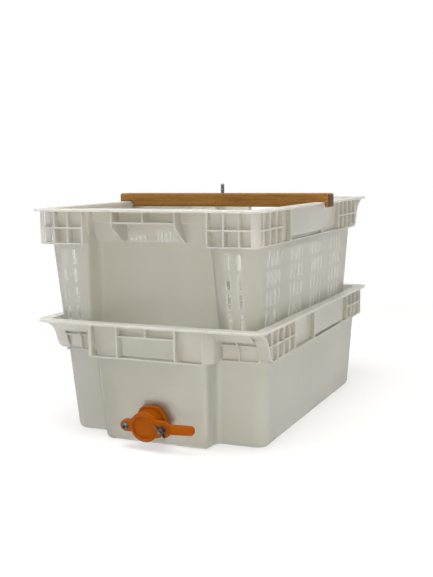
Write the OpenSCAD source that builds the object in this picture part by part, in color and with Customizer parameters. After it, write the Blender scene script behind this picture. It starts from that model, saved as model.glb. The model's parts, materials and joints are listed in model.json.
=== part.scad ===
// Uncapping tank: two stack-and-nest crates, a frame bar with a spike, and a lever honey gate.
// Millimetres, +Z up. The gate faces -Y. The origin is the middle of the lower crate's base.
// A crate has a panel end, where the middle of the wall stands forward, and a recess end, where it
// stands back. Turned half round, the upper crate stands on the shelves of the lower one.

/* [Crate] */
// Length of a crate over its rim
crate_l = 600; // [540:5:700]
// Width of a crate over its rim
crate_w = 400; // [370:5:460]
// Height of a crate
crate_h = 200; // [185:5:240]
// Wall thickness of the moulding
wall = 2.6; // [2:0.1:3.2]
// Thickness of the floor
floor_t = 3; // [2:0.1:5]
// Draft of the long walls in degrees
side_draft = 3; // [1:0.5:4]
// Draft of the end walls in degrees
end_draft = 6; // [3:0.5:7]
// From the edge of the rim in to the long wall, at the top
rim_side = 14.5; // [12:0.5:18]
// From the edge of the rim in to the end wall, at the top
rim_end = 17; // [14:0.5:22]
// Depth of the stacking step in each end wall
step_d = 36; // [28:1:44]
// Width of the panel that stands forward at the panel end, at the top
panel_w = 204; // [180:1:230]
// Width of the recess at the recess end, at the top
recess_w = 209; // [190:1:235]
// How much wider a step is at its root than at its edge
step_slant = 4; // [1:0.5:8]
// Radius of the crate's upright corners
corner_r = 22; // [12:1:30]
// Radius of the upright edges of the steps
step_r = 7; // [4:0.5:10]
// Radius of the edge round the base
base_r = 9; // [5:0.5:12]
// How far the upper crate sinks into the mouth of the lower one
stack_in = 19; // [14:1:24]

/* [Rim] */
// Thickness of the lip
lip_t = 4; // [3:0.5:6]
// Radius of the lip's corners
lip_r = 17; // [13:1:24]
// How far the lip stands out over the band below it
lip_over = 8; // [4:0.5:10]
// How far the lip's corners stand back at the panel end
lip_kink = 2.5; // [0.5:0.5:4]
// Height of the ribbed band, lip included
band_h = 57; // [48:1:66]
// Radius of the band's corners
band_r = 12; // [9:1:16]
// Thickness of the ribs, ledges and skins of the band
rib_t = 2.6; // [2:0.1:3.2]
// Spacing of the ribs along the long sides
side_rib_pitch = 28; // [22:1:34]
// Number of ribs in the long block next to the panel end
panel_block_ribs = 6; // [4:1:6]
// Number of ribs in the short block next to the recess end
recess_block_ribs = 4; // [3:1:4]
// Length of the smooth skin on each long side
skin_l = 170; // [120:5:190]
// Slot between the smooth skin and the ledge under it
skin_gap = 6; // [3:0.5:10]
// Width of the hand hole at the panel end
hand_w = 100; // [85:1:110]
// Height of the hand hole at the panel end
hand_h = 33; // [26:1:36]
// Width of the grip bar at the recess end
grip_w = 112; // [100:1:120]

/* [Slots] */
// Width of a drain slot
slot_w = 6; // [4:0.5:8]
// Height of a wall slot
slot_h = 23.5; // [16:0.5:26]
// Rows of wall slots
slot_rows = 4; // [2:1:4]
// Spacing of the rows
slot_row_pitch = 30.8; // [28:0.2:31]
// Slots in one group on a long wall
group_slots = 4; // [2:1:4]
// Spacing of the slots in a group
group_pitch = 18.5; // [14:0.5:20]
// Spacing of the groups along a long wall
group_step = 110; // [95:1:115]
// Length of a floor slot
floor_slot_l = 32; // [20:1:40]

/* [Frame bar] */
// Width of the bar
bar_w = 32; // [24:1:40]
// Height of the bar
bar_h = 24; // [20:1:36]
// How far the bar's notches drop over the rim
notch_d = 9; // [6:0.5:12]
// Thickness of the hooks outside the rim
hook_t = 7; // [5:0.5:12]
// Bevel along the bar's upper edges
bar_bevel = 3.5; // [1:0.5:5]
// Place of the bar along the crate, towards the back
bar_y = 22; // [-60:1:60]
// Radius of the spike
spike_r = 3.2; // [2.5:0.1:5]
// Height of the spike above the bar
spike_h = 18; // [12:1:30]
// Depth of the spike in the bar
spike_in = 16; // [10:1:18]

/* [Honey gate] */
// Height of the gate's middle on the wall
gate_z = 42.5; // [40:0.5:60]
// Radius of the bore
bore_r = 17; // [14:0.5:17.5]
// Radius of the threaded spigot
spigot_r = 21; // [20:0.25:22]
// Size of the flange across its flats
flange_af = 52; // [50:0.5:58]
// Thickness of the flange
flange_t = 10; // [6:0.5:12]
// Radius of the barrel
barrel_r = 22.5; // [21.5:0.25:24]
// Length of the barrel from the flange to the face plate
barrel_l = 14; // [10:0.5:20]
// Radius of the face plate and of the flap's disc
face_r = 24.5; // [24:0.25:26]
// Thickness of the face plate
face_t = 5; // [4:0.5:7]
// Distance of the two bolts from the middle
bolt_x = 33; // [32:0.5:36]
// Radius of the ears
ear_r = 9.25; // [8:0.25:11]
// Thickness of the flap
flap_t = 4; // [3.5:0.5:5]
// Radius of the lobe that the wing nut clamps
lobe_r = 14; // [13:0.5:15]
// Length of the flap from its pivot to the handle's end
flap_l = 121; // [105:1:140]
// Height of the handle where it leaves the lobe
handle_h = 15.5; // [14:0.5:20]
// Thickness of the handle
handle_t = 7; // [5:0.5:7.5]
// Thickness of the rubber seals at the wall
seal_t = 2; // [1:0.5:3]
// Across the flats of the nut inside the crate
locknut_af = 56; // [52:0.5:58]
// Thickness of the nut inside the crate
locknut_t = 8; // [6:0.5:12]
// Radius of both bolts
bolt_r = 3; // [2.5:0.1:3.5]
// Span of the wing nut's wings
wing_span = 24; // [22:0.5:27]
// Turn of the wing nut from upright, in degrees
wing_turn = 48; // [0:1:180]

/* [Hidden] */

$fn = 64;
eps = 0.01;
cut = 1;
// Radial clearance of a pin or screw in its hole
fit = 0.05;
// Clearance between faces that slide on each other
slide_gap = 0.3;
half_l = crate_l / 2;
half_w = crate_w / 2;
lip_z = crate_h - lip_t;
band_z = crate_h - band_h;
shelf_z = crate_h - stack_in;
band_x = half_w - lip_over;
band_y = half_l - lip_over;
rim_top = shelf_z + crate_h;
corner_facets = 5;
step_facets = 3;
outline_n = 4 * (corner_facets + 1) + 8 * (step_facets + 1);

// Faces of the walls at a height: long wall, end wall, sides of the panel and of the recess
function wall_x(z) = half_w - rim_side - (crate_h - z) * tan(side_draft);
function wall_y(z) = half_l - rim_end - (crate_h - z) * tan(end_draft);
function panel_x(z) = panel_w / 2 - (crate_h - z) * tan(side_draft);
function recess_x(z) = recess_w / 2 + (crate_h - z) * tan(side_draft);

function unit(v) = v / norm(v);
// Points of the arc of radius r that rounds corner b between its neighbours a and c
function corner_arc(a, b, c, r, n) =
    let (u = unit(a - b), v = unit(c - b), half = acos(u * v) / 2,
        middle = b + unit(u + v) * r / sin(half),
        start = b + u * r / tan(half) - middle, stop = b + v * r / tan(half) - middle,
        from = atan2(start.y, start.x), turn = atan2(stop.y, stop.x) - from,
        sweep = turn > 180 ? turn - 360 : turn < -180 ? turn + 360 : turn)
    [for (i = [0:n]) middle + r * [cos(from + sweep * i / n), sin(from + sweep * i / n)]];

// Outline of a crate at a height, moved in by inset: twelve rounded corners, panel end first
function crate_outline(z, inset) =
    let (x = wall_x(z) - inset, y = wall_y(z) - inset, back = y - step_d,
        p = panel_x(z) - inset, r = recess_x(z) + inset,
        outer = corner_r - inset, edge = max(step_r - inset, 1), root = step_r + inset,
        v = [[-x, -back], [-p - step_slant, -back], [-p, -y], [p, -y], [p + step_slant, -back],
            [x, -back], [x, y], [r, y], [r - step_slant, back], [step_slant - r, back],
            [-r, y], [-x, y]],
        radii = [outer, root, edge, edge, root, outer, outer, edge, root, root, edge, outer],
        parts = [corner_facets, step_facets, step_facets, step_facets, step_facets, corner_facets,
            corner_facets, step_facets, step_facets, step_facets, step_facets, corner_facets])
    [for (i = [0:11]) each corner_arc(v[(i + 11) % 12], v[i], v[(i + 1) % 12], radii[i], parts[i])];

// Faces that close an outline of n points which starts at index a: the middle, the panel's tongue with
// the strips at its roots, and the two prongs beside the recess, each a fan from its first point
function cap(a) =
    let (c = corner_facets + 1, s = step_facets + 1, root = c, tongue = root + s - 1,
        far = 2 * c + 4 * s, side = far - 1, inner = far + c + 2 * s - 1)
    [concat([for (i = [0:root]) a + i], [for (i = [tongue + 2 * s + s:side]) a + i], [a + inner, a + inner + 1]),
        [for (i = [tongue:tongue + 2 * s + 1]) a + i],
        for (i = [0:s - 2]) [a + root + i, a + root + i + 1, a + root + 4 * s - 2 - i, a + root + 4 * s - 1 - i],
        [for (i = [side:inner]) a + i],
        concat([a], [for (i = [inner + 1:outline_n - 1]) a + i])];

function turned_over(f) = [for (i = [len(f) - 1:-1:0]) f[i]];

// Solid through a stack of crate outlines
module loft(heights, outlines) {
    n = outline_n;
    top = len(heights) - 1;
    polyhedron(
        points = [for (k = [0:top]) for (p = outlines[k]) [p.x, p.y, heights[k]]],
        faces = concat(
            cap(0),
            [for (k = [0:top - 1]) for (i = [0:n - 1]) let (a = k * n, b = a + n, j = (i + 1) % n)
                [a + i, b + i, b + j, a + j]],
            [for (f = cap(top * n)) concat([f[0]], turned_over([for (i = [1:len(f) - 1]) f[i]]))]));
}

// Tub between two heights, its base edge rounded with radius r
module tub(z0, z1, inset, r) {
    turns = [0, 30, 60, 90];
    heights = concat([for (t = turns) z0 + r * (1 - cos(t))], [z1]);
    insets = concat([for (t = turns) inset + r * (1 - sin(t))], [inset]);
    loft(heights, [for (k = [0:len(heights) - 1]) crate_outline(heights[k], insets[k])]);
}

// Profile in the Y-Z plane carried along X
module along_x(x0, x1) {
    translate([x0, 0, 0]) rotate([90, 0, 90]) linear_extrude(x1 - x0) children();
}

// The same on both sides of the crate's middle plane
module both_sides() {
    children();
    mirror([1, 0, 0]) children();
}

module rounded_rect(x, y, r) {
    for (sx = [-1, 1]) for (sy = [-1, 1]) translate([sx * (x - r), sy * (y - r)]) circle(r);
    square([2 * x, 2 * (y - r)], center = true);
    square([2 * (x - r), 2 * y], center = true);
}

// Lip: a flat rim whose corners stand back a little at the panel end
lip_mid = panel_w / 2 + 3;
module lip() {
    translate([0, 0, lip_z]) linear_extrude(lip_t) {
        translate([0, lip_kink / 2]) rounded_rect(half_w, half_l - lip_kink / 2, lip_r);
        translate([-lip_mid, -half_l]) square([2 * lip_mid, half_l]);
    }
}

// Panel end: the ledge, and the sweep of the corner fairings from the lip in to the foot of the band
ledge_y = wall_y(band_z) - step_d + 9;
foot_y = ledge_y - 19;
fairing_x = band_x - 20;
sweep_facets = 10;
sweep_bulge = 26;
sweep_flare = band_y - foot_y - sweep_bulge;
shelf_edge = wall_y(0) + 2;
pocket_y = wall_y(shelf_z) - wall;
box_x = panel_w / 2 + 10;
box_bevel = 14;

function sweep_y(z) =
    let (s = (z - band_z) / (lip_z - band_z)) foot_y + sweep_bulge * pow(s, 0.45) + sweep_flare * pow(s, 6);
sweep_line = [for (i = [0:sweep_facets]) let (z = band_z + (lip_z - band_z) * i / sweep_facets) [-sweep_y(z), z]];

// Profile of the room behind the sweep, moved in by inset
module behind_sweep(inset) {
    polygon(concat([for (p = sweep_line) p + [inset, inset]], [[0, lip_z + inset], [0, band_z + inset]]));
}

// Gusset under a corner shelf
module gusset_profile() {
    under = shelf_z - wall + eps;
    polygon([[-ledge_y + 2 * wall + 9, under], [-ledge_y + 2 * wall + 9, band_z], [-ledge_y, band_z],
        [-ledge_y - 2, under - 14], [-ledge_y - 7, under - 6], [-shelf_edge, under]]);
}

// Room in front of the ledge, and room in front of the sweep
module ledge_clearance() {
    translate([-half_l - cut, band_z - cut]) square([half_l + cut - ledge_y, lip_z - band_z + cut]);
}

module sweep_clearance() {
    polygon(concat([[-half_l - cut, lip_z], [-half_l - cut, band_z - cut], [-foot_y, band_z - cut]],
        sweep_line));
}

// Shell of a fairing, and the end of the long wall behind it
shell = 0.8 * rib_t;
module fairing() {
    intersection() {
        union() {
            along_x(fairing_x, band_x)
                polygon(concat(sweep_line, [for (i = [sweep_facets:-1:0]) sweep_line[i] + [shell, shell]]));
            along_x(wall_x(shelf_z) - wall, wall_x(shelf_z))
                polygon(concat(sweep_line, [[step_d - foot_y, lip_z], [step_d - foot_y, band_z]]));
        }
        linear_extrude(crate_h) band_plan();
    }
}

// Ring of the band seen from above, at the plane of its outer faces
module band_plan() {
    rounded_rect(band_x, band_y, band_r);
}

module band_ring() {
    difference() {
        band_plan();
        rounded_rect(band_x - rib_t, band_y - rib_t, band_r - rib_t);
    }
}

// Corner areas, where the band turns
module corner_areas() {
    for (sx = [-1, 1]) for (sy = [-1, 1])
        translate([sx * (band_x - band_r / 2), sy * (band_y - band_r / 2)])
            square(band_r + eps, center = true);
}

// Shallow strip between the smooth skin and the block next to the recess end
strip_l = 38;
panel_block_y = -(band_y + 1 - side_rib_pitch * panel_block_ribs);
recess_block_y = band_y + 5 - side_rib_pitch * recess_block_ribs;
skin_y1 = recess_block_y - strip_l;
skin_y0 = skin_y1 - skin_l;
band_root_x = wall_x(band_z) - wall / 2;
band_root_y = wall_y(band_z) - wall / 2;
recess_side = recess_x(band_z);

// Plan of the ledge: the band's outline without the recess at the recess end
module ledge_plan() {
    difference() {
        band_plan();
        translate([-recess_side, wall_y(band_z) - step_d - wall]) square([2 * recess_side, 2 * step_d]);
        both_sides() polygon([[box_x - box_bevel, -band_y - cut], [box_x + 2 * cut, -band_y - cut],
            [box_x + 2 * cut, -band_y + box_bevel + cut]]);
    }
}

// Plan of the middle rib, which runs only through the ribbed blocks
module mid_rib_plan() {
    difference() {
        ledge_plan();
        translate([-half_w, panel_block_y]) square([crate_w, recess_block_y - panel_block_y]);
        translate([-half_w, -half_l]) square([crate_w, half_l - ledge_y]);
    }
}

module side_rib(y) {
    both_sides() translate([band_root_x, y - rib_t / 2, band_z])
        cube([band_x - band_root_x, rib_t, lip_z - band_z]);
}

recess_ribs = [recess_side + rib_t / 2, (2 * recess_side + band_x) / 3, (recess_side + 2 * band_x) / 3 - 3];
gusset_x = (box_x + fairing_x) / 2;

// Band: ledge, middle rib, corner skins, ribs of the blocks and the smooth skins of the long sides
module band() {
    difference() {
        union() {
            translate([0, 0, band_z]) linear_extrude(rib_t) ledge_plan();
            translate([0, 0, (band_z + lip_z - rib_t) / 2]) linear_extrude(rib_t) mid_rib_plan();
            translate([0, 0, band_z]) linear_extrude(lip_z - band_z)
                intersection() {
                    band_ring();
                    corner_areas();
                }
            for (i = [1:panel_block_ribs]) side_rib(-(band_y + 1 - side_rib_pitch * i));
            for (i = [1:recess_block_ribs]) side_rib(band_y + 5 - side_rib_pitch * i);
        }
        both_sides() {
            along_x(box_x, fairing_x + wall) ledge_clearance();
            along_x(fairing_x, half_w + cut) sweep_clearance();
        }
    }
    both_sides() {
        fairing();
        along_x(gusset_x - rib_t / 2, gusset_x + rib_t / 2) gusset_profile();
        for (x = recess_ribs) translate([x - rib_t / 2, band_root_y, band_z])
            cube([rib_t, band_y - band_root_y, lip_z - band_z]);
        translate([band_x - rib_t, skin_y0, band_z + rib_t + skin_gap])
            cube([rib_t, skin_l, lip_z - band_z - rib_t - skin_gap]);
        for (y = [skin_y0, skin_y1 - rib_t]) translate([band_root_x, y, band_z])
            cube([band_x - band_root_x, rib_t, lip_z - band_z]);
    }
}

// Panel end: bevelled posts and the frame of the hand hole on the forward panel
hand_top = band_z + rib_t + hand_h;
module panel_frame() {
    depth = band_y - band_root_y;
    both_sides() {
        translate([0, 0, band_z]) linear_extrude(lip_z - band_z)
            polygon([[box_x - box_bevel, -band_root_y], [panel_w / 2 + step_slant, -ledge_y + 6],
                [box_x, -ledge_y + 6], [box_x, -band_y + box_bevel], [box_x - box_bevel, -band_y]]);
        translate([hand_w / 2, -band_y, band_z]) cube([rib_t, depth, lip_z - band_z]);
    }
    translate([-hand_w / 2, -band_y, hand_top]) cube([hand_w, depth, rib_t]);
    translate([-rib_t / 2, -band_y, hand_top]) cube([rib_t, depth, lip_z - hand_top]);
}

// Panel end: shelves in the corners for the base of the crate above, closed in by the fairings
shelf_root = wall_y(shelf_z) - step_d - wall / 2;
slope_z = shelf_z + pocket_y - shelf_edge;
module shelf_profile() {
    polygon([[-shelf_root, shelf_z - wall], [-shelf_edge - wall, shelf_z - wall], [-pocket_y - wall, slope_z],
        [-pocket_y - wall, lip_z + wall / 2], [-shelf_root, lip_z + wall / 2]]);
}

module corner_shelves() {
    both_sides() {
        along_x(panel_x(shelf_z) - wall / 2, fairing_x) shelf_profile();
        along_x(panel_x(shelf_z) - wall / 2, wall_x(shelf_z)) intersection() {
            shelf_profile();
            behind_sweep(shell / 2);
        }
    }
}

// Recess end: shelf over the recess, the cells of the grip with their slanted cheeks, and the wedges
// that carry the shelf beside the hand hole
seat_gap = 1.4;
grip_z = shelf_z - 1.4 * wall;
grip_in = wall_y(stack_in) + seat_gap;
grip_face = grip_in + wall;
wedge_z = band_z + 4;
wedge_y = wall_y(wedge_z) - step_d + 10;
wedge_root = wall_y(wedge_z) - step_d - wall / 2;
recess_half = recess_x(shelf_z) + wall / 2;
module recess_shelf() {
    depth = band_y - grip_face + wall / 2;
    translate([-recess_half, shelf_root, grip_z])
        cube([2 * recess_half, grip_face - shelf_root, lip_z - grip_z]);
    translate([-grip_w / 2, grip_face - wall / 2, grip_z]) cube([grip_w, depth, rib_t]);
    translate([-rib_t / 2, grip_face - wall / 2, grip_z]) cube([rib_t, depth, lip_z - grip_z]);
    both_sides() {
        along_x(grip_w / 2 - rib_t, grip_w / 2) polygon([[wedge_root, wedge_z], [wedge_y + 5, wedge_z],
            [band_y, grip_z - 5], [band_y, lip_z], [shelf_root, lip_z]]);
        along_x(grip_w / 2 - rib_t, recess_half) polygon([[wedge_root, wedge_z], [wedge_y, wedge_z],
            [grip_face, grip_z + wall / 2], [shelf_root, grip_z + wall / 2]]);
    }
}

// Hollow of a wedge, open towards the inside of the crate
module wedge_hollow() {
    along_x(grip_w / 2 + wall / 2, recess_half - 1.5 * wall) polygon([[pocket_in, wedge_z + wall],
        [wedge_y - wall, wedge_z + wall], [grip_face - 1.6 * wall, grip_z - wall], [pocket_in, grip_z - wall]]);
}

// Spaces over the shelves, at both ends, and inside the wedges
pocket_in = wall_y(shelf_z) - step_d - 3 * wall;
module pocket_profile() {
    polygon([[-pocket_in, shelf_z], [-shelf_edge, shelf_z], [-pocket_y, slope_z], [-pocket_y, crate_h + cut],
        [-pocket_in, crate_h + cut]]);
}

module shelf_pockets() {
    x = wall_x(shelf_z) - wall;
    top = crate_h + cut;
    inner = pocket_in;
    along_x(-fairing_x, fairing_x) pocket_profile();
    along_x(-x, x) intersection() {
        pocket_profile();
        behind_sweep(shell);
    }
    translate([-x, -pocket_y, lip_z]) cube([2 * x, pocket_y - inner, top - lip_z]);
    translate([-x, inner, shelf_z]) cube([2 * x, grip_in - inner, top - shelf_z]);
    both_sides() wedge_hollow();
}

module hand_holes() {
    translate([-hand_w / 2, -half_l, band_z + rib_t]) cube([hand_w, 2 * step_d, hand_h]);
    recess_hole = grip_w - 2 * rib_t - 2;
    translate([-recess_hole / 2, wedge_root - step_d / 2, wedge_z])
        cube([recess_hole, step_d, grip_z - 9 - wedge_z]);
}

// Slot with round ends, standing on the plane's Y axis
module slot(w, h) {
    square([w, h - w], center = true);
    for (s = [-1, 1]) translate([0, s * (h - w) / 2]) circle(d = w);
}

slot_top = band_z - 10 - slot_h / 2;
group_count = 4;
group_mid = 30;
end_slots = [(recess_side + 0.32 * (band_x - recess_side)), (recess_side + 0.55 * (band_x - recess_side))];

// Slots of the long walls, the ends and the floor
module drain_slots() {
    rows = [for (r = [0:slot_rows - 1]) slot_top - slot_row_pitch * r];
    reach = 1.5 * step_d;
    both_sides() along_x(wall_x(0) - 4 * wall, half_w)
        for (z = rows) for (g = [0:group_count - 1]) for (i = [0:group_slots - 1])
            translate([group_mid + (g - (group_count - 1) / 2) * group_step
                + (i - (group_slots - 1) / 2) * group_pitch, z]) slot(slot_w, slot_h);
    for (y = [wall_y(0) + reach / 2, step_d + reach / 2 - wall_y(0)]) translate([0, y, 0])
        rotate([90, 0, 0]) linear_extrude(reach)
            for (z = rows) for (x = end_slots) for (s = [-1, 1]) translate([s * x, z]) slot(slot_w, slot_h);
    translate([0, 0, -cut]) linear_extrude(floor_t + 2 * cut)
        for (x = [-3:3]) for (y = [-4:4]) translate([x * 44, y * 46]) slot(slot_w, floor_slot_l);
}

// One moulding, panel end towards -Y
module crate(slotted) {
    difference() {
        union() {
            tub(0, lip_z + eps, 0, base_r);
            lip();
            band();
            panel_frame();
            corner_shelves();
            recess_shelf();
        }
        tub(floor_t, crate_h + cut, wall, base_r - wall);
        shelf_pockets();
        hand_holes();
        if (slotted) drain_slots();
    }
}

module lower_crate() {
    color([0.9, 0.9, 0.87, 0.85]) difference() {
        crate(false);
        on_gate() turned(-half_l, half_l) circle(spigot_r + slide_gap);
    }
}

module upper_crate() {
    color([0.9, 0.9, 0.87, 0.85]) translate([0, 0, shelf_z]) rotate([0, 0, 180]) crate(true);
}

// Frame bar: notched over both rims, with bevelled upper edges
module frame_bar() {
    outer = half_w + slide_gap + hook_t;
    notch_in = wall_x(crate_h) - wall - 2;
    low = rim_top - notch_d;
    high = low + bar_h;
    color("peru") difference() {
        intersection() {
            translate([0, bar_y + bar_w / 2, 0]) rotate([90, 0, 0]) linear_extrude(bar_w)
                polygon([[-outer, low], [outer, low], [outer, high - bar_bevel], [outer - bar_bevel, high],
                    [bar_bevel - outer, high], [-outer, high - bar_bevel]]);
            translate([0, bar_y, 0]) along_x(-outer, outer)
                polygon([[-bar_w / 2, low], [bar_w / 2, low], [bar_w / 2, high - bar_bevel],
                    [bar_w / 2 - bar_bevel, high], [bar_bevel - bar_w / 2, high], [-bar_w / 2, high - bar_bevel]]);
        }
        both_sides() translate([notch_in, bar_y - bar_w / 2 - cut, low - cut])
            cube([half_w + slide_gap - notch_in, bar_w + 2 * cut, notch_d + cut]);
        translate([0, bar_y, high - spike_in]) cylinder(r = shank_r + fit / 2, h = spike_in + cut);
    }
}

// Spike: a round pin on a thinner shank, with a blunt cone for a tip
shank_r = 0.8 * spike_r;
neck_h = 1;
tip_h = 2.6;
module frame_spike() {
    high = rim_top - notch_d + bar_h;
    color("dimgray") translate([0, bar_y, 0]) {
        translate([0, 0, high - spike_in]) cylinder(r = shank_r, h = spike_in + neck_h + eps);
        translate([0, 0, high + neck_h]) cylinder(r = spike_r, h = spike_h - neck_h - tip_h);
        translate([0, 0, high + spike_h - tip_h]) cylinder(r1 = spike_r, r2 = spike_r * 0.35, h = tip_h);
    }
}

// Gate frame: origin where the bore's axis meets the wall, -Y out of the crate, square to the wall
module on_gate() {
    translate([0, -wall_y(gate_z), gate_z]) rotate([end_draft, 0, 0]) children();
}

// Plan in the gate's face, carried from distance d0 to d1 out from the wall
module turned(d0, d1) {
    translate([0, -d0, 0]) rotate([90, 0, 0]) linear_extrude(d1 - d0) children();
}

module hexagon(af) {
    rotate(0) circle(r = af / sqrt(3), $fn = 6);
}

flange_d = seal_t + flange_t;
plate_d = flange_d + barrel_l;
face_d = plate_d + face_t;
flap_d = face_d + slide_gap;
flap_front = flap_d + flap_t;
ring_r = (bore_r + face_r) / 2 - 0.8;
cord_r = 1.2;
washer_t = 1.2;
washer_r = 2.1 * bolt_r;
nut_t = 5;
spigot_in = wall + seal_t + locknut_t + 4;
hub_l = 8;
ridge_h = 1.2;

// Gate body: flange, barrel, face plate with two ears, and the spigot through the wall
module gate_body() {
    color("darkorange") on_gate() difference() {
        union() {
            turned(seal_t, flange_d) intersection() {
                hexagon(flange_af);
                circle(0.54 * flange_af);
            }
            turned(flange_d - eps, plate_d + eps) circle(barrel_r);
            turned(flange_d + 0.4 * barrel_l, flange_d + 0.7 * barrel_l) circle(barrel_r + ridge_h);
            turned(plate_d, face_d) {
                circle(face_r);
                square([2 * bolt_x, 2 * ear_r], center = true);
                for (s = [-1, 1]) translate([s * bolt_x, 0]) circle(ear_r);
            }
            turned(-spigot_in, seal_t + eps) circle(spigot_r);
        }
        turned(-spigot_in - cut, face_d + cut) circle(bore_r);
        turned(face_d - 2 * cord_r + slide_gap, face_d + cut) difference() {
            circle(ring_r + cord_r + fit);
            circle(ring_r - cord_r - fit);
        }
        for (s = [-1, 1]) turned(plate_d - cut, face_d + cut) translate([s * bolt_x, 0]) circle(bolt_r + fit);
    }
}

// Flap: disc with a raised ring, pivot ear, slotted lobe and handle
module gate_flap() {
    ring_h = 2;
    lobe_edge = bolt_x + lobe_r;
    tip = flap_l - bolt_x;
    rise = 1.8;
    tip_half = 0.47 * handle_h;
    tip_r = 0.85 * tip_half;
    tip_rise = rise + 1.5;
    color("orange") on_gate() difference() {
        union() {
            turned(flap_d, flap_front) {
                circle(face_r);
                translate([-bolt_x, 0]) circle(ear_r);
                translate([-bolt_x, -ear_r]) square([bolt_x, 2 * ear_r]);
                translate([bolt_x, 0]) circle(lobe_r);
                translate([0, -lobe_r]) square([bolt_x, 2 * lobe_r]);
            }
            turned(flap_d, flap_d + handle_t) {
                polygon([[lobe_edge + 1, rise - handle_h / 2], [tip - tip_r, tip_rise - tip_half],
                    [tip - tip_r, tip_rise + tip_half], [lobe_edge + 1, rise + handle_h / 2]]);
                translate([tip - tip_r, tip_rise]) square([2 * tip_r, 2 * (tip_half - tip_r)], center = true);
                for (s = [-1, 1]) translate([tip - tip_r, tip_rise + s * (tip_half - tip_r)]) circle(tip_r);
            }
            turned(flap_d, flap_front) translate([bolt_x, rise - handle_h / 2]) square([lobe_r + 2, handle_h]);
            turned(flap_d, flap_front + ring_h) difference() {
                circle(face_r - 3.4);
                circle(face_r - 5.8);
            }
        }
        turned(flap_d - cut, flap_front + cut) translate([-bolt_x, 0]) circle(bolt_r + fit);
        translate([-bolt_x, -flap_d + cut, 0]) rotate([90, 0, 0]) rotate([0, 0, -45])
            rotate_extrude(angle = 45) translate([2 * bolt_x - bolt_r - slide_gap, 0])
                square([2 * (bolt_r + slide_gap), flap_t + 2 * cut]);
        turned(flap_d - cut, flap_front + cut) translate([bolt_x, 0]) circle(bolt_r + slide_gap);
    }
}

// Nut on the spigot, inside the crate
module gate_locknut() {
    back = -wall - seal_t;
    color("darkorange") on_gate() turned(back - locknut_t, back) difference() {
        hexagon(locknut_af);
        circle(spigot_r + fit);
    }
}

module seal(d0, d1) {
    turned(d0, d1) difference() {
        circle(flange_af / 2 - 0.5);
        circle(spigot_r + slide_gap);
    }
}

module outer_seal() {
    color("dimgray") on_gate() seal(0, seal_t);
}

module inner_seal() {
    color("dimgray") on_gate() seal(-wall - seal_t, -wall);
}

// O-ring in the groove of the face plate
module face_ring() {
    color([0.15, 0.15, 0.15]) on_gate() translate([0, cord_r - face_d - slide_gap + fit, 0]) rotate([90, 0, 0])
        rotate_extrude() translate([ring_r, 0]) circle(cord_r - fit);
}

// Pivot screw with a button head and a hexagon socket
module pivot_screw() {
    head = flap_front + washer_t + fit;
    color("silver") on_gate() translate([-bolt_x, 0, 0]) difference() {
        union() {
            turned(plate_d - nut_t - 2, head + eps) circle(bolt_r);
            translate([0, -head, 0]) rotate([90, 0, 0]) cylinder(r1 = 1.75 * bolt_r, r2 = 1.2 * bolt_r, h = 1.1 * bolt_r);
        }
        turned(head - 0.7 * bolt_r, head + 2 * bolt_r) hexagon(1.33 * bolt_r);
    }
}

module pivot_nut() {
    color("silver") on_gate() translate([-bolt_x, 0, 0]) turned(plate_d - nut_t, plate_d) difference() {
        hexagon(3.33 * bolt_r);
        circle(bolt_r + fit);
    }
}

module washer(d) {
    turned(d, d + washer_t) difference() {
        circle(washer_r);
        circle(bolt_r + fit);
    }
}

module pivot_washer() {
    color("silver") on_gate() translate([-bolt_x, 0, 0]) washer(flap_front + fit);
}

// Clamp bolt with a round head behind the ear
module clamp_bolt() {
    head_h = 3.4;
    color("silver") on_gate() translate([bolt_x, 0, 0]) {
        turned(plate_d - eps, flap_front + washer_t + hub_l + 4) circle(bolt_r);
        translate([0, -plate_d, 0]) rotate([-90, 0, 0]) cylinder(r1 = 2.2 * bolt_r, r2 = 1.3 * bolt_r, h = head_h);
    }
}

module clamp_washer() {
    color("silver") on_gate() translate([bolt_x, 0, 0]) washer(flap_front + fit);
}

// Wing nut: tapered hub with two rounded wings that flare outwards
module wing_nut() {
    seat = flap_front + washer_t + 2 * fit;
    hub_r = 1.75 * bolt_r;
    wing_r = 4.2;
    wing_t = 2;
    rise = max(seat + 0.75 * hub_l, flap_d + handle_t + wing_r + slide_gap);
    color("silver") on_gate() translate([bolt_x, 0, 0]) rotate([0, wing_turn, 0]) difference() {
        union() {
            translate([0, -seat, 0]) rotate([90, 0, 0]) cylinder(r1 = hub_r, r2 = 0.8 * hub_r, h = hub_l);
            for (s = [-1, 1]) {
                translate([s * (wing_span / 2 - wing_r), -rise - 1, -wing_t / 2])
                    cylinder(r = wing_r, h = wing_t);
                translate([0, 0, -wing_t / 2]) linear_extrude(wing_t)
                    polygon([[0, -seat - 0.3 * hub_l], [s * hub_r * 0.8, -seat - 0.3 * hub_l],
                        [s * (wing_span / 2 - wing_r), -rise + wing_r - 1],
                        [s * (wing_span / 2 - wing_r), -rise - wing_r - 1], [s * hub_r * 0.7, -seat - hub_l * 0.9],
                        [0, -seat - hub_l * 0.9]]);
            }
        }
        turned(seat - cut, seat + 3 * hub_l) circle(bolt_r + fit);
    }
}

lower_crate();
upper_crate();
frame_bar();
frame_spike();
gate_body();
gate_flap();
gate_locknut();
outer_seal();
inner_seal();
face_ring();
pivot_screw();
pivot_nut();
pivot_washer();
clamp_bolt();
clamp_washer();
wing_nut();
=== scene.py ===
"""Uncapping tank: looks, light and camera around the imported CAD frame. Metres, +Z up, gate towards -Y."""
import json
import math

import bpy
import numpy as np
from mathutils import Matrix, Vector
from mathutils.geometry import tessellate_polygon


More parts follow.
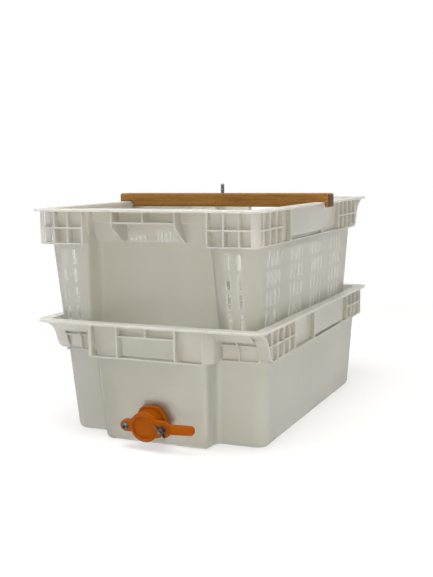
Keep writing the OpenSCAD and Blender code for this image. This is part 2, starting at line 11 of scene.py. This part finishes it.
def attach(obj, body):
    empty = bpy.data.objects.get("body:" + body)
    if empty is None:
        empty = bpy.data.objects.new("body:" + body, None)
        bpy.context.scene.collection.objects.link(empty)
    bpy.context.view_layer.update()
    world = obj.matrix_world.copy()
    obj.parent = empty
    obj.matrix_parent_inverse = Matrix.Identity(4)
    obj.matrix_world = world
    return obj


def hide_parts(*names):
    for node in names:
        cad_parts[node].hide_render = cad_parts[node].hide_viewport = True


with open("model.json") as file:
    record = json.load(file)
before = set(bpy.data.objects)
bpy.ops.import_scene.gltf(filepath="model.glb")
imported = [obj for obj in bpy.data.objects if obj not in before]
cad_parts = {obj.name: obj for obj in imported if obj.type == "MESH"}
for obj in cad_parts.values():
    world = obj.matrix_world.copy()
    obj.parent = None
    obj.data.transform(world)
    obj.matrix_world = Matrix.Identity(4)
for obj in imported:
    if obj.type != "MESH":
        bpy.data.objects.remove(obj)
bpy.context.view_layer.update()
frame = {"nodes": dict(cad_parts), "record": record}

MM = 0.001

# Crates: heights of both rims, depth of the ribbed band and of the lip below them
LOWER_RIM_MM = 200.0
UPPER_RIM_MM = 381.0
BAND_DEPTH_MM = 53.5
LIP_DEPTH_MM = 3.6

# Frame bar: half its length
BAR_HALF_MM = 207.3

# Honey gate: middle of its foot on the wall, tilt of the wall, distance of both bolts from the middle
GATE_FOOT_MM = np.array([0.0, -266.446, 42.5])
GATE_TILT = math.radians(6)
BOLT_X = 33.0

# Camera of the photograph, worked out from the edges of both rims
PHOTO_H = 577
LENS_PX = 913.0
CAMERA_MM = (672.8, -1529.8, 446.2)
CAMERA_TURN = 23.90
CAMERA_DOWN = 7.66
CAMERA_ROLL = -0.74


def linear(hex_colour):
    """sRGB hex colour as linear RGBA."""
    srgb = np.array([int(hex_colour[i:i + 2], 16) for i in (1, 3, 5)]) / 255
    rgb = np.where(srgb <= 0.04045, srgb / 12.92, ((srgb + 0.055) / 1.055) ** 2.4)
    return (*rgb.tolist(), 1.0)


def add(tree, kind, settings=None, links=None):
    """A node of that kind, with settings (attributes or input sockets) and links (input: output socket)."""
    node = tree.nodes.new(kind)
    for key, value in (settings or {}).items():
        if isinstance(key, str) and hasattr(node, key):
            setattr(node, key, value)
        else:
            node.inputs[key].default_value = value
    for key, output in (links or {}).items():
        tree.links.new(output, node.inputs[key])
    return node


def material(name, settings):
    """A material whose Principled shader has these settings; returns it, its tree and the shader."""
    made = bpy.data.materials.new(name)
    made.use_nodes = True
    tree = made.node_tree
    shader = tree.nodes["Principled BSDF"]
    for key, value in settings.items():
        shader.inputs[key].default_value = value
    return made, tree, shader


def ramp(tree, factor, stops):
    """Colour ramp from (place, hex colour) stops."""
    node = add(tree, "ShaderNodeValToRGB", links={"Fac": factor})
    bands = node.color_ramp.elements
    while len(bands) < len(stops):
        bands.new(0.5)
    for band, (place, colour) in zip(bands, stops):
        band.position = place
        band.color = linear(colour)
    return node.outputs["Color"]


def object_place(tree):
    """Place on the object, in metres."""
    return add(tree, "ShaderNodeTexCoord").outputs["Object"]


def noise(tree, place, size_mm, detail, **settings):
    """Noise pattern with features of about that size."""
    settings = {"Scale": 1000 / size_mm, "Detail": detail, **settings}
    return add(tree, "ShaderNodeTexNoise", settings, {"Vector": place}).outputs["Fac"]


def map_range(tree, value, **limits):
    """Value taken from one range to another; each is 0 to 1 unless from_min, from_max, to_min or to_max
    says otherwise."""
    settings = {key.replace("_", " ").title(): limit for key, limit in limits.items()}
    return add(tree, "ShaderNodeMapRange", settings, {"Value": value}).outputs["Result"]


def soft_edge(tree, radius_mm):
    """Normal that turns over an edge as if it were rounded to that radius."""
    return add(tree, "ShaderNodeBevel", {"samples": 6, "Radius": radius_mm * MM}).outputs["Normal"]


def skin(tree, shader, height, strength, depth_mm, edge_mm):
    """Fine relief on the shader's surface, over softened edges."""
    bump = add(tree, "ShaderNodeBump", {"Strength": strength, "Distance": depth_mm * MM},
               {"Height": height, "Normal": soft_edge(tree, edge_mm)})
    tree.links.new(bump.outputs["Normal"], shader.inputs["Normal"])


def natural_polypropylene(name, through, dark, pale, edge_highlight_through, edge_highlight, edge_mm):
    """Natural polypropylene, injection moulded: milky, with a satin skin and a faint flow mottle a few
    centimetres wide. A thin wall lets most light through. Along edges the colour is painted paler and the wall
    made less clear: a painted highlight for the glow of light leaving the plastic at its edges."""
    made, tree, shader = material(name, {
        "Roughness": 0.55, "IOR": 1.49, "Specular IOR Level": 0.3,
        "Subsurface Weight": 1.0, "Subsurface Scale": 0.004, "Subsurface Radius": (1.0, 0.95, 0.85),
        "Coat Weight": 0.35, "Coat Roughness": 0.2, "Coat IOR": 1.49, "Transmission Weight": through})
    place = object_place(tree)
    colour = ramp(tree, noise(tree, place, size_mm=140, detail=3.0), [(0.35, dark), (0.65, pale)])
    # Painted highlight: faces near a rounded edge are mixed towards a paler colour and let less light through,
    # so edges glow
    straight = add(tree, "ShaderNodeNewGeometry").outputs["Normal"]
    bend = add(tree, "ShaderNodeVectorMath", {"operation": "DOT_PRODUCT"},
               {0: soft_edge(tree, edge_mm), 1: straight}).outputs["Value"]
    edge = map_range(tree, bend, from_min=1.0, from_max=0.8)
    lit = add(tree, "ShaderNodeMix", {"data_type": "RGBA", 7: linear(edge_highlight)}, {0: edge, 6: colour})
    tree.links.new(lit.outputs[2], shader.inputs["Base Color"])
    clear = map_range(tree, edge, to_min=through, to_max=edge_highlight_through)
    tree.links.new(clear, shader.inputs["Transmission Weight"])
    grain = noise(tree, place, size_mm=1.6, detail=2.0)
    skin(tree, shader, grain, strength=0.06, depth_mm=0.2, edge_mm=2.0)
    return made


def orange_nylon():
    """Orange nylon, injection moulded: deep even colour with a satin, slightly grainy skin."""
    made, tree, shader = material("orange_nylon", {
        "Roughness": 0.4, "IOR": 1.53, "Specular IOR Level": 0.06, "Subsurface Weight": 0.1,
        "Subsurface Scale": 0.002, "Subsurface Radius": (1.0, 0.4, 0.05)})
    grain = noise(tree, object_place(tree), size_mm=0.9, detail=2.0)
    colour = ramp(tree, grain, [(0.3, "#904600"), (0.7, "#9b4d00")])
    tree.links.new(colour, shader.inputs["Base Color"])
    skin(tree, shader, grain, strength=0.1, depth_mm=0.1, edge_mm=0.9)
    return made


def drawn_out(tree, place, scale):
    """Place with its X scaled, so that a pattern on it is drawn out along the bar."""
    return add(tree, "ShaderNodeMapping", {"Scale": (scale, 1.0, 1.0)}, {"Vector": place}).outputs["Vector"]


def oiled_beech():
    """Beech, planed and oiled: warm brown with long growth lines along the bar, short dark ray flecks,
    and end grain that took up more oil."""
    made, tree, shader = material("oiled_beech", {"Roughness": 0.5, "IOR": 1.5, "Specular IOR Level": 0.2})
    place = object_place(tree)
    multiply = {"data_type": "RGBA", "blend_type": "MULTIPLY"}
    lines = noise(tree, drawn_out(tree, place, 1 / 30), size_mm=3.0, detail=4.0, Roughness=0.6)
    colour = ramp(tree, lines, [(0.3, "#754f20"), (0.5, "#896028"), (0.72, "#976d34")])
    fleck = noise(tree, drawn_out(tree, place, 0.18), size_mm=0.8, detail=1.0)
    flecks = ramp(tree, fleck, [(0.3, "#c9c0b4"), (0.42, "#ffffff")])
    flecked = add(tree, "ShaderNodeMix", {**multiply, 0: 1.0}, {6: colour, 7: flecks}).outputs[2]
    across = add(tree, "ShaderNodeSeparateXYZ", links={0: place}).outputs["X"]
    reach = add(tree, "ShaderNodeMath", {"operation": "ABSOLUTE"}, {0: across}).outputs[0]
    cut = map_range(tree, reach, from_min=(BAR_HALF_MM - 0.9) * MM, from_max=(BAR_HALF_MM - 0.3) * MM)
    ends = add(tree, "ShaderNodeMix", {**multiply, 7: linear("#8f7a5c")}, {0: cut, 6: flecked})
    tree.links.new(ends.outputs[2], shader.inputs["Base Color"])
    skin(tree, shader, lines, strength=0.15, depth_mm=0.2, edge_mm=1.5)
    return made


def zinc_plated_steel():
    """Zinc-plated steel: grey metal with a slightly clouded plating."""
    made, tree, shader = material("zinc_plated_steel", {"Metallic": 1.0})
    cloud = noise(tree, object_place(tree), size_mm=2.5, detail=3.0)
    colour = ramp(tree, cloud, [(0.3, "#4c4a47"), (0.7, "#7a7873")])
    tree.links.new(colour, shader.inputs["Base Color"])
    tree.links.new(soft_edge(tree, 0.4), shader.inputs["Normal"])
    tree.links.new(map_range(tree, cloud, to_min=0.28, to_max=0.42), shader.inputs["Roughness"])
    return made


def black_rubber():
    """Moulded EPDM rubber: dull black with a dusty bloom."""
    made, tree, shader = material("black_rubber", {"Roughness": 0.7, "IOR": 1.52})
    bloom = noise(tree, object_place(tree), size_mm=4.0, detail=3.0)
    tree.links.new(ramp(tree, bloom, [(0.3, "#191919"), (0.7, "#262524")]), shader.inputs["Base Color"])
    return made


# Each crate finish paints its edges paler than its walls: a painted highlight along edges
WALL = natural_polypropylene("natural_polypropylene", through=0.88, dark="#e0ded4", pale="#eae9e2",
                             edge_highlight_through=0.42, edge_highlight="#f2f1ec", edge_mm=3.6)
# Painted highlight: the ribbed band and the lip get copies of the same polypropylene that let less light
# through, so that they show brighter than the walls
BAND_PAINTED_BRIGHTER = natural_polypropylene("natural_polypropylene_band", through=0.54, dark="#d8d6cd", pale="#e2e0d9",
                             edge_highlight_through=0.44, edge_highlight="#e6e4de", edge_mm=3.0)
RIM_PAINTED_BRIGHTER = natural_polypropylene("natural_polypropylene_rim", through=0.5, dark="#dddcd6", pale="#e4e3de",
                            edge_highlight_through=0.46, edge_highlight="#e6e5e0", edge_mm=3.0)
FINISHES = {
    "natural_pp": WALL,
    "orange_plastic": orange_nylon(),
    "oiled_wood": oiled_beech(),
    "zinc_steel": zinc_plated_steel(),
    "black_rubber": black_rubber(),
}

for part in frame["record"]["subparts"]:
    slots = frame["nodes"][part["node"]].data.materials
    slots.clear()
    slots.append(FINISHES[part["material_slot"]])


def mesh_nodes(name):
    """Empty geometry node group; returns it and the mesh that comes in."""
    group = bpy.data.node_groups.new(name, "GeometryNodeTree")
    for way in ("INPUT", "OUTPUT"):
        group.interface.new_socket("Geometry", in_out=way, socket_type="NodeSocketGeometry")
    return group, add(group, "NodeGroupInput").outputs[0]


def smooth_by_angle(limit_deg):
    """Geometry nodes that weld a mesh's loose triangles and shade it smooth, sharp where faces meet at more
    than the limit."""
    group, mesh = mesh_nodes("smooth_by_angle")
    weld = add(group, "GeometryNodeMergeByDistance", {"Distance": 0.002 * MM}, {"Geometry": mesh})
    angle = add(group, "GeometryNodeInputMeshEdgeAngle")
    soft = add(group, "FunctionNodeCompare", {"operation": "LESS_EQUAL", 1: math.radians(limit_deg)},
               {0: angle.outputs["Unsigned Angle"]})
    faces = add(group, "GeometryNodeSetShadeSmooth", {"domain": "FACE"}, {"Geometry": weld.outputs[0]})
    edges = add(group, "GeometryNodeSetShadeSmooth", {"domain": "EDGE"},
                {"Geometry": faces.outputs[0], "Shade Smooth": soft.outputs[0]})
    add(group, "NodeGroupOutput", links={0: edges.outputs[0]})
    return group


def finish_above(name, height_mm, finish):
    """Geometry nodes that give the faces above a height another material."""
    group, mesh = mesh_nodes(name)
    place = add(group, "GeometryNodeInputPosition").outputs[0]
    height = add(group, "ShaderNodeSeparateXYZ", links={0: place}).outputs["Z"]
    high = add(group, "FunctionNodeCompare", {"operation": "GREATER_THAN", 1: height_mm * MM}, {0: height})
    top = add(group, "GeometryNodeSetMaterial", {"Material": finish},
              {"Geometry": mesh, "Selection": high.outputs[0]})
    add(group, "NodeGroupOutput", links={0: top.outputs[0]})
    return group


# Painted highlight: faces in the ribbed band and in the lip take the brighter copies of the polypropylene
for crate, top_mm in (("lower_crate", LOWER_RIM_MM), ("upper_crate", UPPER_RIM_MM)):
    for name, depth_mm, finish in (("band", BAND_DEPTH_MM, BAND_PAINTED_BRIGHTER), ("rim", LIP_DEPTH_MM, RIM_PAINTED_BRIGHTER)):
        nodes = finish_above(crate + "_" + name, top_mm - depth_mm, finish)
        frame["nodes"][crate].modifiers.new(name, "NODES").node_group = nodes

SMOOTH = smooth_by_angle(32)
for node in frame["nodes"].values():
    node.modifiers.new("smooth", "NODES").node_group = SMOOTH


def sheet_mesh(name, points, faces):
    """Object from arrays of points and faces."""
    mesh = bpy.data.meshes.new(name)
    mesh.from_pydata(points.tolist(), [], [list(face) for face in faces])
    made = bpy.data.objects.new(name, mesh)
    bpy.context.collection.objects.link(made)
    return made


def on_gate(points):
    """From the gate's frame (across, up the face, out from the wall; mm) to the tank's frame in metres."""
    axes = np.array([[1, 0, 0], [0, -math.sin(GATE_TILT), math.cos(GATE_TILT)],
                     [0, -math.cos(GATE_TILT), -math.sin(GATE_TILT)]])
    return (GATE_FOOT_MM + points @ axes) * MM


def on_bar(points):
    """From the bar's frame (across, up, out towards the gate; mm) to the tank's frame in metres."""
    return points @ np.array([[1, 0, 0], [0, 0, 1], [0, -1, 0]]) * MM


def directions(angles):
    """Unit vectors (cos a, sin a)."""
    return np.stack([np.cos(angles), np.sin(angles)], 1)


def turn_round(steps):
    """Angles evenly spread over a full turn."""
    return np.linspace(0, 2 * math.pi, steps, endpoint=False)


def hull(discs, steps=96):
    """Outline round discs (x, y, r): c + r n of the disc that reaches farthest along n = (cos a, sin a)."""
    n = directions(turn_round(steps))
    discs = np.array(discs, float)
    far = np.argmax(n @ discs[:, :2].T + discs[:, 2], 1)
    return discs[far, :2] + discs[far, 2:] * n


def join_hulls(hulls, steps=420):
    """Outline round several hulls that all hold the origin: R(t) is the greatest, over the hulls, of the
    least h(n) / cos(t - n), with h a hull's reach along n; then points spread evenly along the line."""
    t = np.linspace(0, 2 * math.pi, 3601)
    a = turn_round(720)
    slant = np.cos(t[:, None] - a[None])
    slant = np.where(slant > 0.01, slant, np.nan)
    reach = []
    for discs in hulls:
        discs = np.array(discs, float)
        support = np.max(directions(a) @ discs[:, :2].T + discs[:, 2], 1)
        reach.append(np.nanmin(support / slant, 1))
    line = np.max(reach, 0)[:, None] * directions(t)
    run = np.concatenate([[0], np.cumsum(np.linalg.norm(np.diff(line, axis=0), axis=1))])
    even = np.linspace(0, run[-1], steps, endpoint=False)
    return np.stack([np.interp(even, run, line[:, k]) for k in (0, 1)], 1)


def rounded_corners(corners, setbacks, steps=7):
    """Polygon with each corner P drawn as (1-t)^2 A + 2t(1-t) P + t^2 B, with A and B set back from it."""
    p = np.array(corners, float)
    back, ahead = np.roll(p, 1, 0) - p, np.roll(p, -1, 0) - p
    d = np.array(setbacks, float)[:, None]
    start = p + d * back / np.linalg.norm(back, axis=1, keepdims=True)
    end = p + d * ahead / np.linalg.norm(ahead, axis=1, keepdims=True)
    t = np.linspace(0, 1, steps)[None, :, None]
    curve = (1 - t) ** 2 * start[:, None] + 2 * t * (1 - t) * p[:, None] + t ** 2 * end[:, None]
    return curve.reshape(-1, 2)


def edge_profile(low, high, low_r, high_r, steps=5):
    """Rows (inset, height) up a slab's side: a quarter circle at its lower edge and one at its upper edge."""
    a = np.linspace(0, math.pi / 2, steps)
    lower = np.stack([low_r * (1 - np.sin(a)), low + low_r * (1 - np.cos(a))], 1)
    upper = np.stack([high_r * (1 - np.cos(a)), high - high_r * (1 - np.sin(a))], 1)
    return np.concatenate([lower, upper])


def grid_faces(rows, columns, closed=False):
    """Faces between rows of points that each run round a loop; closed joins the last row to the first."""
    i, k = np.arange(columns)[None], np.arange(rows if closed else rows - 1)[:, None]
    after, above = (i + 1) % columns, (k + 1) % rows
    corners = [k * columns + i, k * columns + after, above * columns + after, above * columns + i]
    return np.stack(corners, 2).reshape(-1, 4)


def slab(loops, profile):
    """Points and faces of a slab with rounded edges: P(i, k) = loop(i) + inset(k) normal(i) at height(k),
    closed by a face below and above. The outer loop runs anticlockwise, holes clockwise."""
    points, faces, ends, first = [], [], ([], []), 0
    for loop in loops:
        n, m = len(loop), len(profile)
        along = np.roll(loop, -1, 0) - np.roll(loop, 1, 0)
        along /= np.linalg.norm(along, axis=1, keepdims=True)
        inward = np.stack([-along[:, 1], along[:, 0]], 1)
        flat = loop[None] + profile[:, None, :1] * inward[None]
        heights = np.broadcast_to(profile[:, None, 1:], (m, n, 1))
        points.append(np.concatenate([flat, heights], 2).reshape(-1, 3))
        faces += (grid_faces(m, n) + first).tolist()
        ends[0].append(np.arange(n) + first)
        ends[1].append(np.arange(n) + first + (m - 1) * n)
        first += n * m
    points = np.concatenate(points)
    for side, upward in zip(ends, (False, True)):
        order = np.concatenate(side)
        rings = [[Vector((*points[j, :2], 0)) for j in ring] for ring in side]
        tri = np.array(tessellate_polygon(rings))
        a, b, c = (points[order[tri[:, j]], :2] for j in range(3))
        turn = (b - a)[:, 0] * (c - a)[:, 1] - (b - a)[:, 1] * (c - a)[:, 0]
        tri = np.where(((turn > 0) == upward)[:, None], tri, tri[:, ::-1])
        faces += order[tri[turn != 0]].tolist()
    return points, faces


def joined(parts):
    """Points and faces of several parts as one list."""
    points, faces, first = [], [], 0
    for part_points, part_faces in parts:
        points.append(part_points)
        faces += [[j + first for j in face] for face in part_faces]
        first += len(part_points)
    return np.concatenate(points), faces


def circle(x, y, r, steps=72, hole=False):
    """Circle, run clockwise for a hole."""
    line = hull([(x, y, r)], steps)
    return line[::-1] if hole else line


def new_piece(name, points, faces, node, body, slot):
    """Object that stands for a CAD node, rides on its body and takes its slot's finish."""
    made = sheet_mesh(name, points, faces)
    made.data.materials.append(FINISHES[slot])
    made.modifiers.new("smooth", "NODES").node_group = SMOOTH
    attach(made, body)
    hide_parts(node)


def bar_surface():
    """Frame bar: its side view with both notches, carried across the bar, all edges eased by planing."""
    notch_out, notch_in, low, high = 200.3, 180.9, 372.0, 396.0
    near, far = -38.0, -6.0
    half = [(notch_in, low), (notch_in, UPPER_RIM_MM), (notch_out, UPPER_RIM_MM), (notch_out, low),
            (BAR_HALF_MM, low), (BAR_HALF_MM, high)]
    easing = [1.2, 0.6, 0.6, 1.2, 1.6, 4.5]
    corners = half + [(-x, z) for x, z in half[::-1]]
    loop = rounded_corners(corners, easing + easing[::-1])
    return slab([loop], edge_profile(near, far, low_r=1.8, high_r=1.8))


def flap_outline(rise, half_h):
    """Line round the flap's plate, with the slot that the clamp bolt leaves by, swung about the pivot."""
    disc_r, ear_r, lobe_r, pin_r, neck_x = 24.5, 9.25, 14.0, 3.3, 49.0
    arm = [(x, rise + side * half_h, 0) for x in (0, neck_x) for side in (-1, 1)]
    ear = [(0, 0, ear_r), (-BOLT_X, 0, ear_r)]
    lobe = [(0, 0, lobe_r), (BOLT_X, 0, lobe_r)]
    line = join_hulls([[(0, 0, disc_r)], ear, lobe, arm])
    swing = np.hypot(line[:, 0] + BOLT_X, line[:, 1])
    mouth = (np.abs(swing - 2 * BOLT_X) < pin_r) & (line[:, 1] < 0) & (line[:, 0] > 0)
    start, stop = np.flatnonzero(mouth)[[0, -1]]
    low = math.atan2(line[start, 1], line[start, 0] + BOLT_X)
    turns = directions(np.linspace(low, 0, 8))
    top = np.array([BOLT_X, 0]) + pin_r * directions(np.linspace(math.pi, 0, 13)[1:-1])
    pivot = np.array([-BOLT_X, 0])
    inner, outer = (pivot + (2 * BOLT_X + side * pin_r) * turns for side in (-1, 1))
    return np.concatenate([line[:start], inner, top, outer[::-1], line[stop + 1:]])


def flap_surface():
    """Gate flap: disc, pivot ear, lobe with an open slot about the pivot, raised ring and a thicker handle."""
    back, front, handle_t, hole_r = 31.3, 35.3, 7.0, 3.05
    ring_in, ring_out, ring_h, sunk = 18.7, 21.1, 2.0, 1.2
    rise, half_h, grip_x, grip_r = 1.8, 7.75, 50, 2
    tip_x, tip_low, tip_high, tip_r = 81.81, 2.21, 4.39, 6.19
    well = circle(0, 0, ring_in, 96, True)
    loops = [flap_outline(rise, half_h), circle(-BOLT_X, 0, hole_r, 48, True), well]
    plate = slab(loops, edge_profile(back, front, low_r=0.4, high_r=0.8))
    ring_side = edge_profile(front - 1, front + ring_h, low_r=0, high_r=1.15)
    ring = slab([circle(0, 0, ring_out, 96), well], ring_side)
    disc = slab([circle(0, 0, ring_in + 0.1, 96)], edge_profile(back, front - sunk, low_r=0, high_r=0))
    grip = hull([(grip_x, rise + half_h - grip_r, grip_r), (grip_x, rise - half_h + grip_r, grip_r),
                 (tip_x, tip_high, tip_r), (tip_x, tip_low, tip_r)], 120)
    handle = slab([grip], edge_profile(back, back + handle_t, low_r=0.8, high_r=1.6))
    return joined([plate, ring, disc, handle])


def wing_nut_surface():
    """Wing nut: a turned hub with a bore, and two rounded wings that flare outwards, turned about the bolt."""
    seat, turn, steps = 36.6, math.radians(48), 48
    hub_rows = [(5.25, 0), (5.25, 1.2), (5.0, 4), (4.5, 7.2), (4.2, 7.8), (3.6, 8.0), (3.05, 7.9), (3.05, 0)]
    round_hub = directions(turn_round(steps))
    rows = [np.concatenate([r * round_hub, np.full((steps, 1), seat + h)], 1) for r, h in hub_rows]
    parts = [(np.concatenate(rows), grid_faces(len(rows), steps, closed=True).tolist())]
    for side in (1, -1):
        wing = hull([(4.3, 40.2, 0.9), (4.1, 42.9, 0.9), (7.8, 43.8, 4.2)], 72)
        points, faces = slab([wing], edge_profile(-1, 1, low_r=0.8, high_r=0.8))
        points = np.stack([side * points[:, 0], side * points[:, 2], points[:, 1]], 1)
        parts.append((points, [face[::-1] for face in faces]))
    points, faces = joined(parts)
    x, up, out = points.T
    turned_x = BOLT_X + x * math.cos(turn) + up * math.sin(turn)
    turned_up = up * math.cos(turn) - x * math.sin(turn)
    return np.stack([turned_x, turned_up, out], 1), faces


bar_points, bar_faces = bar_surface()
new_piece("frame_bar_wood", on_bar(bar_points), bar_faces, "frame_bar", "bar", "oiled_wood")
flap_points, flap_faces = flap_surface()
new_piece("gate_flap_moulding", on_gate(flap_points), flap_faces, "gate_flap", "flap", "orange_plastic")
wing_points, wing_faces = wing_nut_surface()
new_piece("wing_nut_casting", on_gate(wing_points), wing_faces, "wing_nut", "wing", "zinc_steel")


def floor_and_sweep():
    """Studio floor that curves up into a wall behind: floor, quarter circle and wall, carried across."""
    half, front, back, radius, height = 5.0, -4.0, 2.6, 1.2, 4.0
    turn = np.linspace(0, math.pi / 2, 17)
    depth = np.concatenate([[front], back + radius * np.sin(turn), [back + radius]])
    rise = np.concatenate([[0.0], radius * (1 - np.cos(turn)), [height]])
    n = len(depth)
    points = np.concatenate([np.stack([np.full(n, x), depth, rise], 1) for x in (-half, half)])
    i = np.arange(n - 1)
    made = sheet_mesh("floor", points, np.stack([i, i + n, i + n + 1, i + 1], 1))
    made.data.shade_smooth()
    return made


def seen_ray(tree):
    """1 for a ray from the camera or off a shiny skin, 0 for the light itself."""
    path = add(tree, "ShaderNodeLightPath")
    return add(tree, "ShaderNodeMath", {"operation": "MAXIMUM"},
               {0: path.outputs["Is Camera Ray"], 1: path.outputs["Is Glossy Ray"]}).outputs[0]


def studio_white():
    """Matt white paper with the object's soft shadow on it, seen as plain white from 1.5 m away."""
    made, tree, shader = material("studio_white", {"Roughness": 0.9, "Base Color": linear("#f4f4f4")})
    white = add(tree, "ShaderNodeEmission", {"Color": (1, 1, 1, 1), "Strength": 1.0})
    away = add(tree, "ShaderNodeVectorMath", {"operation": "LENGTH"}, {0: object_place(tree)})
    plain = map_range(tree, away.outputs["Value"], from_min=0.6, from_max=1.5, to_min=0.5, to_max=1.0)
    share = add(tree, "ShaderNodeMath", {"operation": "MULTIPLY"}, {0: plain, 1: seen_ray(tree)})
    mix = add(tree, "ShaderNodeMixShader",
              links={0: share.outputs[0], 1: shader.outputs[0], 2: white.outputs[0]})
    tree.links.new(mix.outputs[0], tree.nodes["Material Output"].inputs["Surface"])
    return made


floor = floor_and_sweep()
floor.data.materials.append(studio_white())


def lamp(name, place, aim, size, power, colour):
    """Square area lamp at a place, aimed at a point."""
    light = bpy.data.lights.new(name, "AREA")
    light.size = size
    light.energy = power
    light.color = linear(colour)[:3]
    made = bpy.data.objects.new(name, light)
    aimed = (Vector(aim) - Vector(place)).to_track_quat("-Z", "Y")
    made.matrix_world = Matrix.Translation(place) @ aimed.to_matrix().to_4x4()
    bpy.context.collection.objects.link(made)


middle = (0, 0, 0.2)
gate = (0, -0.3, 0.1)
lamp("window_left", (-2.3, -1.6, 0.9), middle, size=1.6, power=15, colour="#dfe9ff")
lamp("ceiling", (0.1, -0.7, 2.3), middle, size=1.5, power=50, colour="#fffaf2")
lamp("front_right", (2.5, -1.2, 0.7), middle, size=1.6, power=10, colour="#fff8ee")
lamp("low_front", (0.5, -1.5, 0.12), gate, size=0.5, power=2, colour="#fffaf4")


def white_world():
    """White all round: plain white where it is seen, weaker as light."""
    world = bpy.data.worlds.new("studio")
    bpy.context.scene.world = world
    world.use_nodes = True
    tree = world.node_tree
    background = tree.nodes["Background"]
    background.inputs["Color"].default_value = linear("#ffffff")
    level = map_range(tree, seen_ray(tree), to_min=0.65, to_max=1.0)
    tree.links.new(level, background.inputs["Strength"])


def photo_camera():
    """Camera at the photograph's place: turned about Z, tipped down and rolled, its lens set by the frame's
    longer side."""
    lens = bpy.data.cameras.new("photo_camera")
    lens.sensor_fit = "VERTICAL"
    lens.sensor_height = 36.0
    lens.lens = lens.sensor_height * LENS_PX / PHOTO_H
    lens.clip_end = 50
    turn, down, roll = (math.radians(a) for a in (CAMERA_TURN, CAMERA_DOWN, CAMERA_ROLL))
    made = bpy.data.objects.new("photo_camera", lens)
    made.matrix_world = (Matrix.Translation(Vector(CAMERA_MM) * MM) @ Matrix.Rotation(turn, 4, "Z")
                         @ Matrix.Rotation(math.pi / 2 - down, 4, "X") @ Matrix.Rotation(roll, 4, "Z"))
    bpy.context.collection.objects.link(made)
    bpy.context.scene.camera = made


white_world()
photo_camera()
bpy.context.scene.view_settings.view_transform = "Standard"

# Light passes many milky walls before it dies out
paths = bpy.context.scene.cycles
paths.max_bounces = 32
paths.transmission_bounces = 32
paths.diffuse_bounces = 12
paths.glossy_bounces = 8
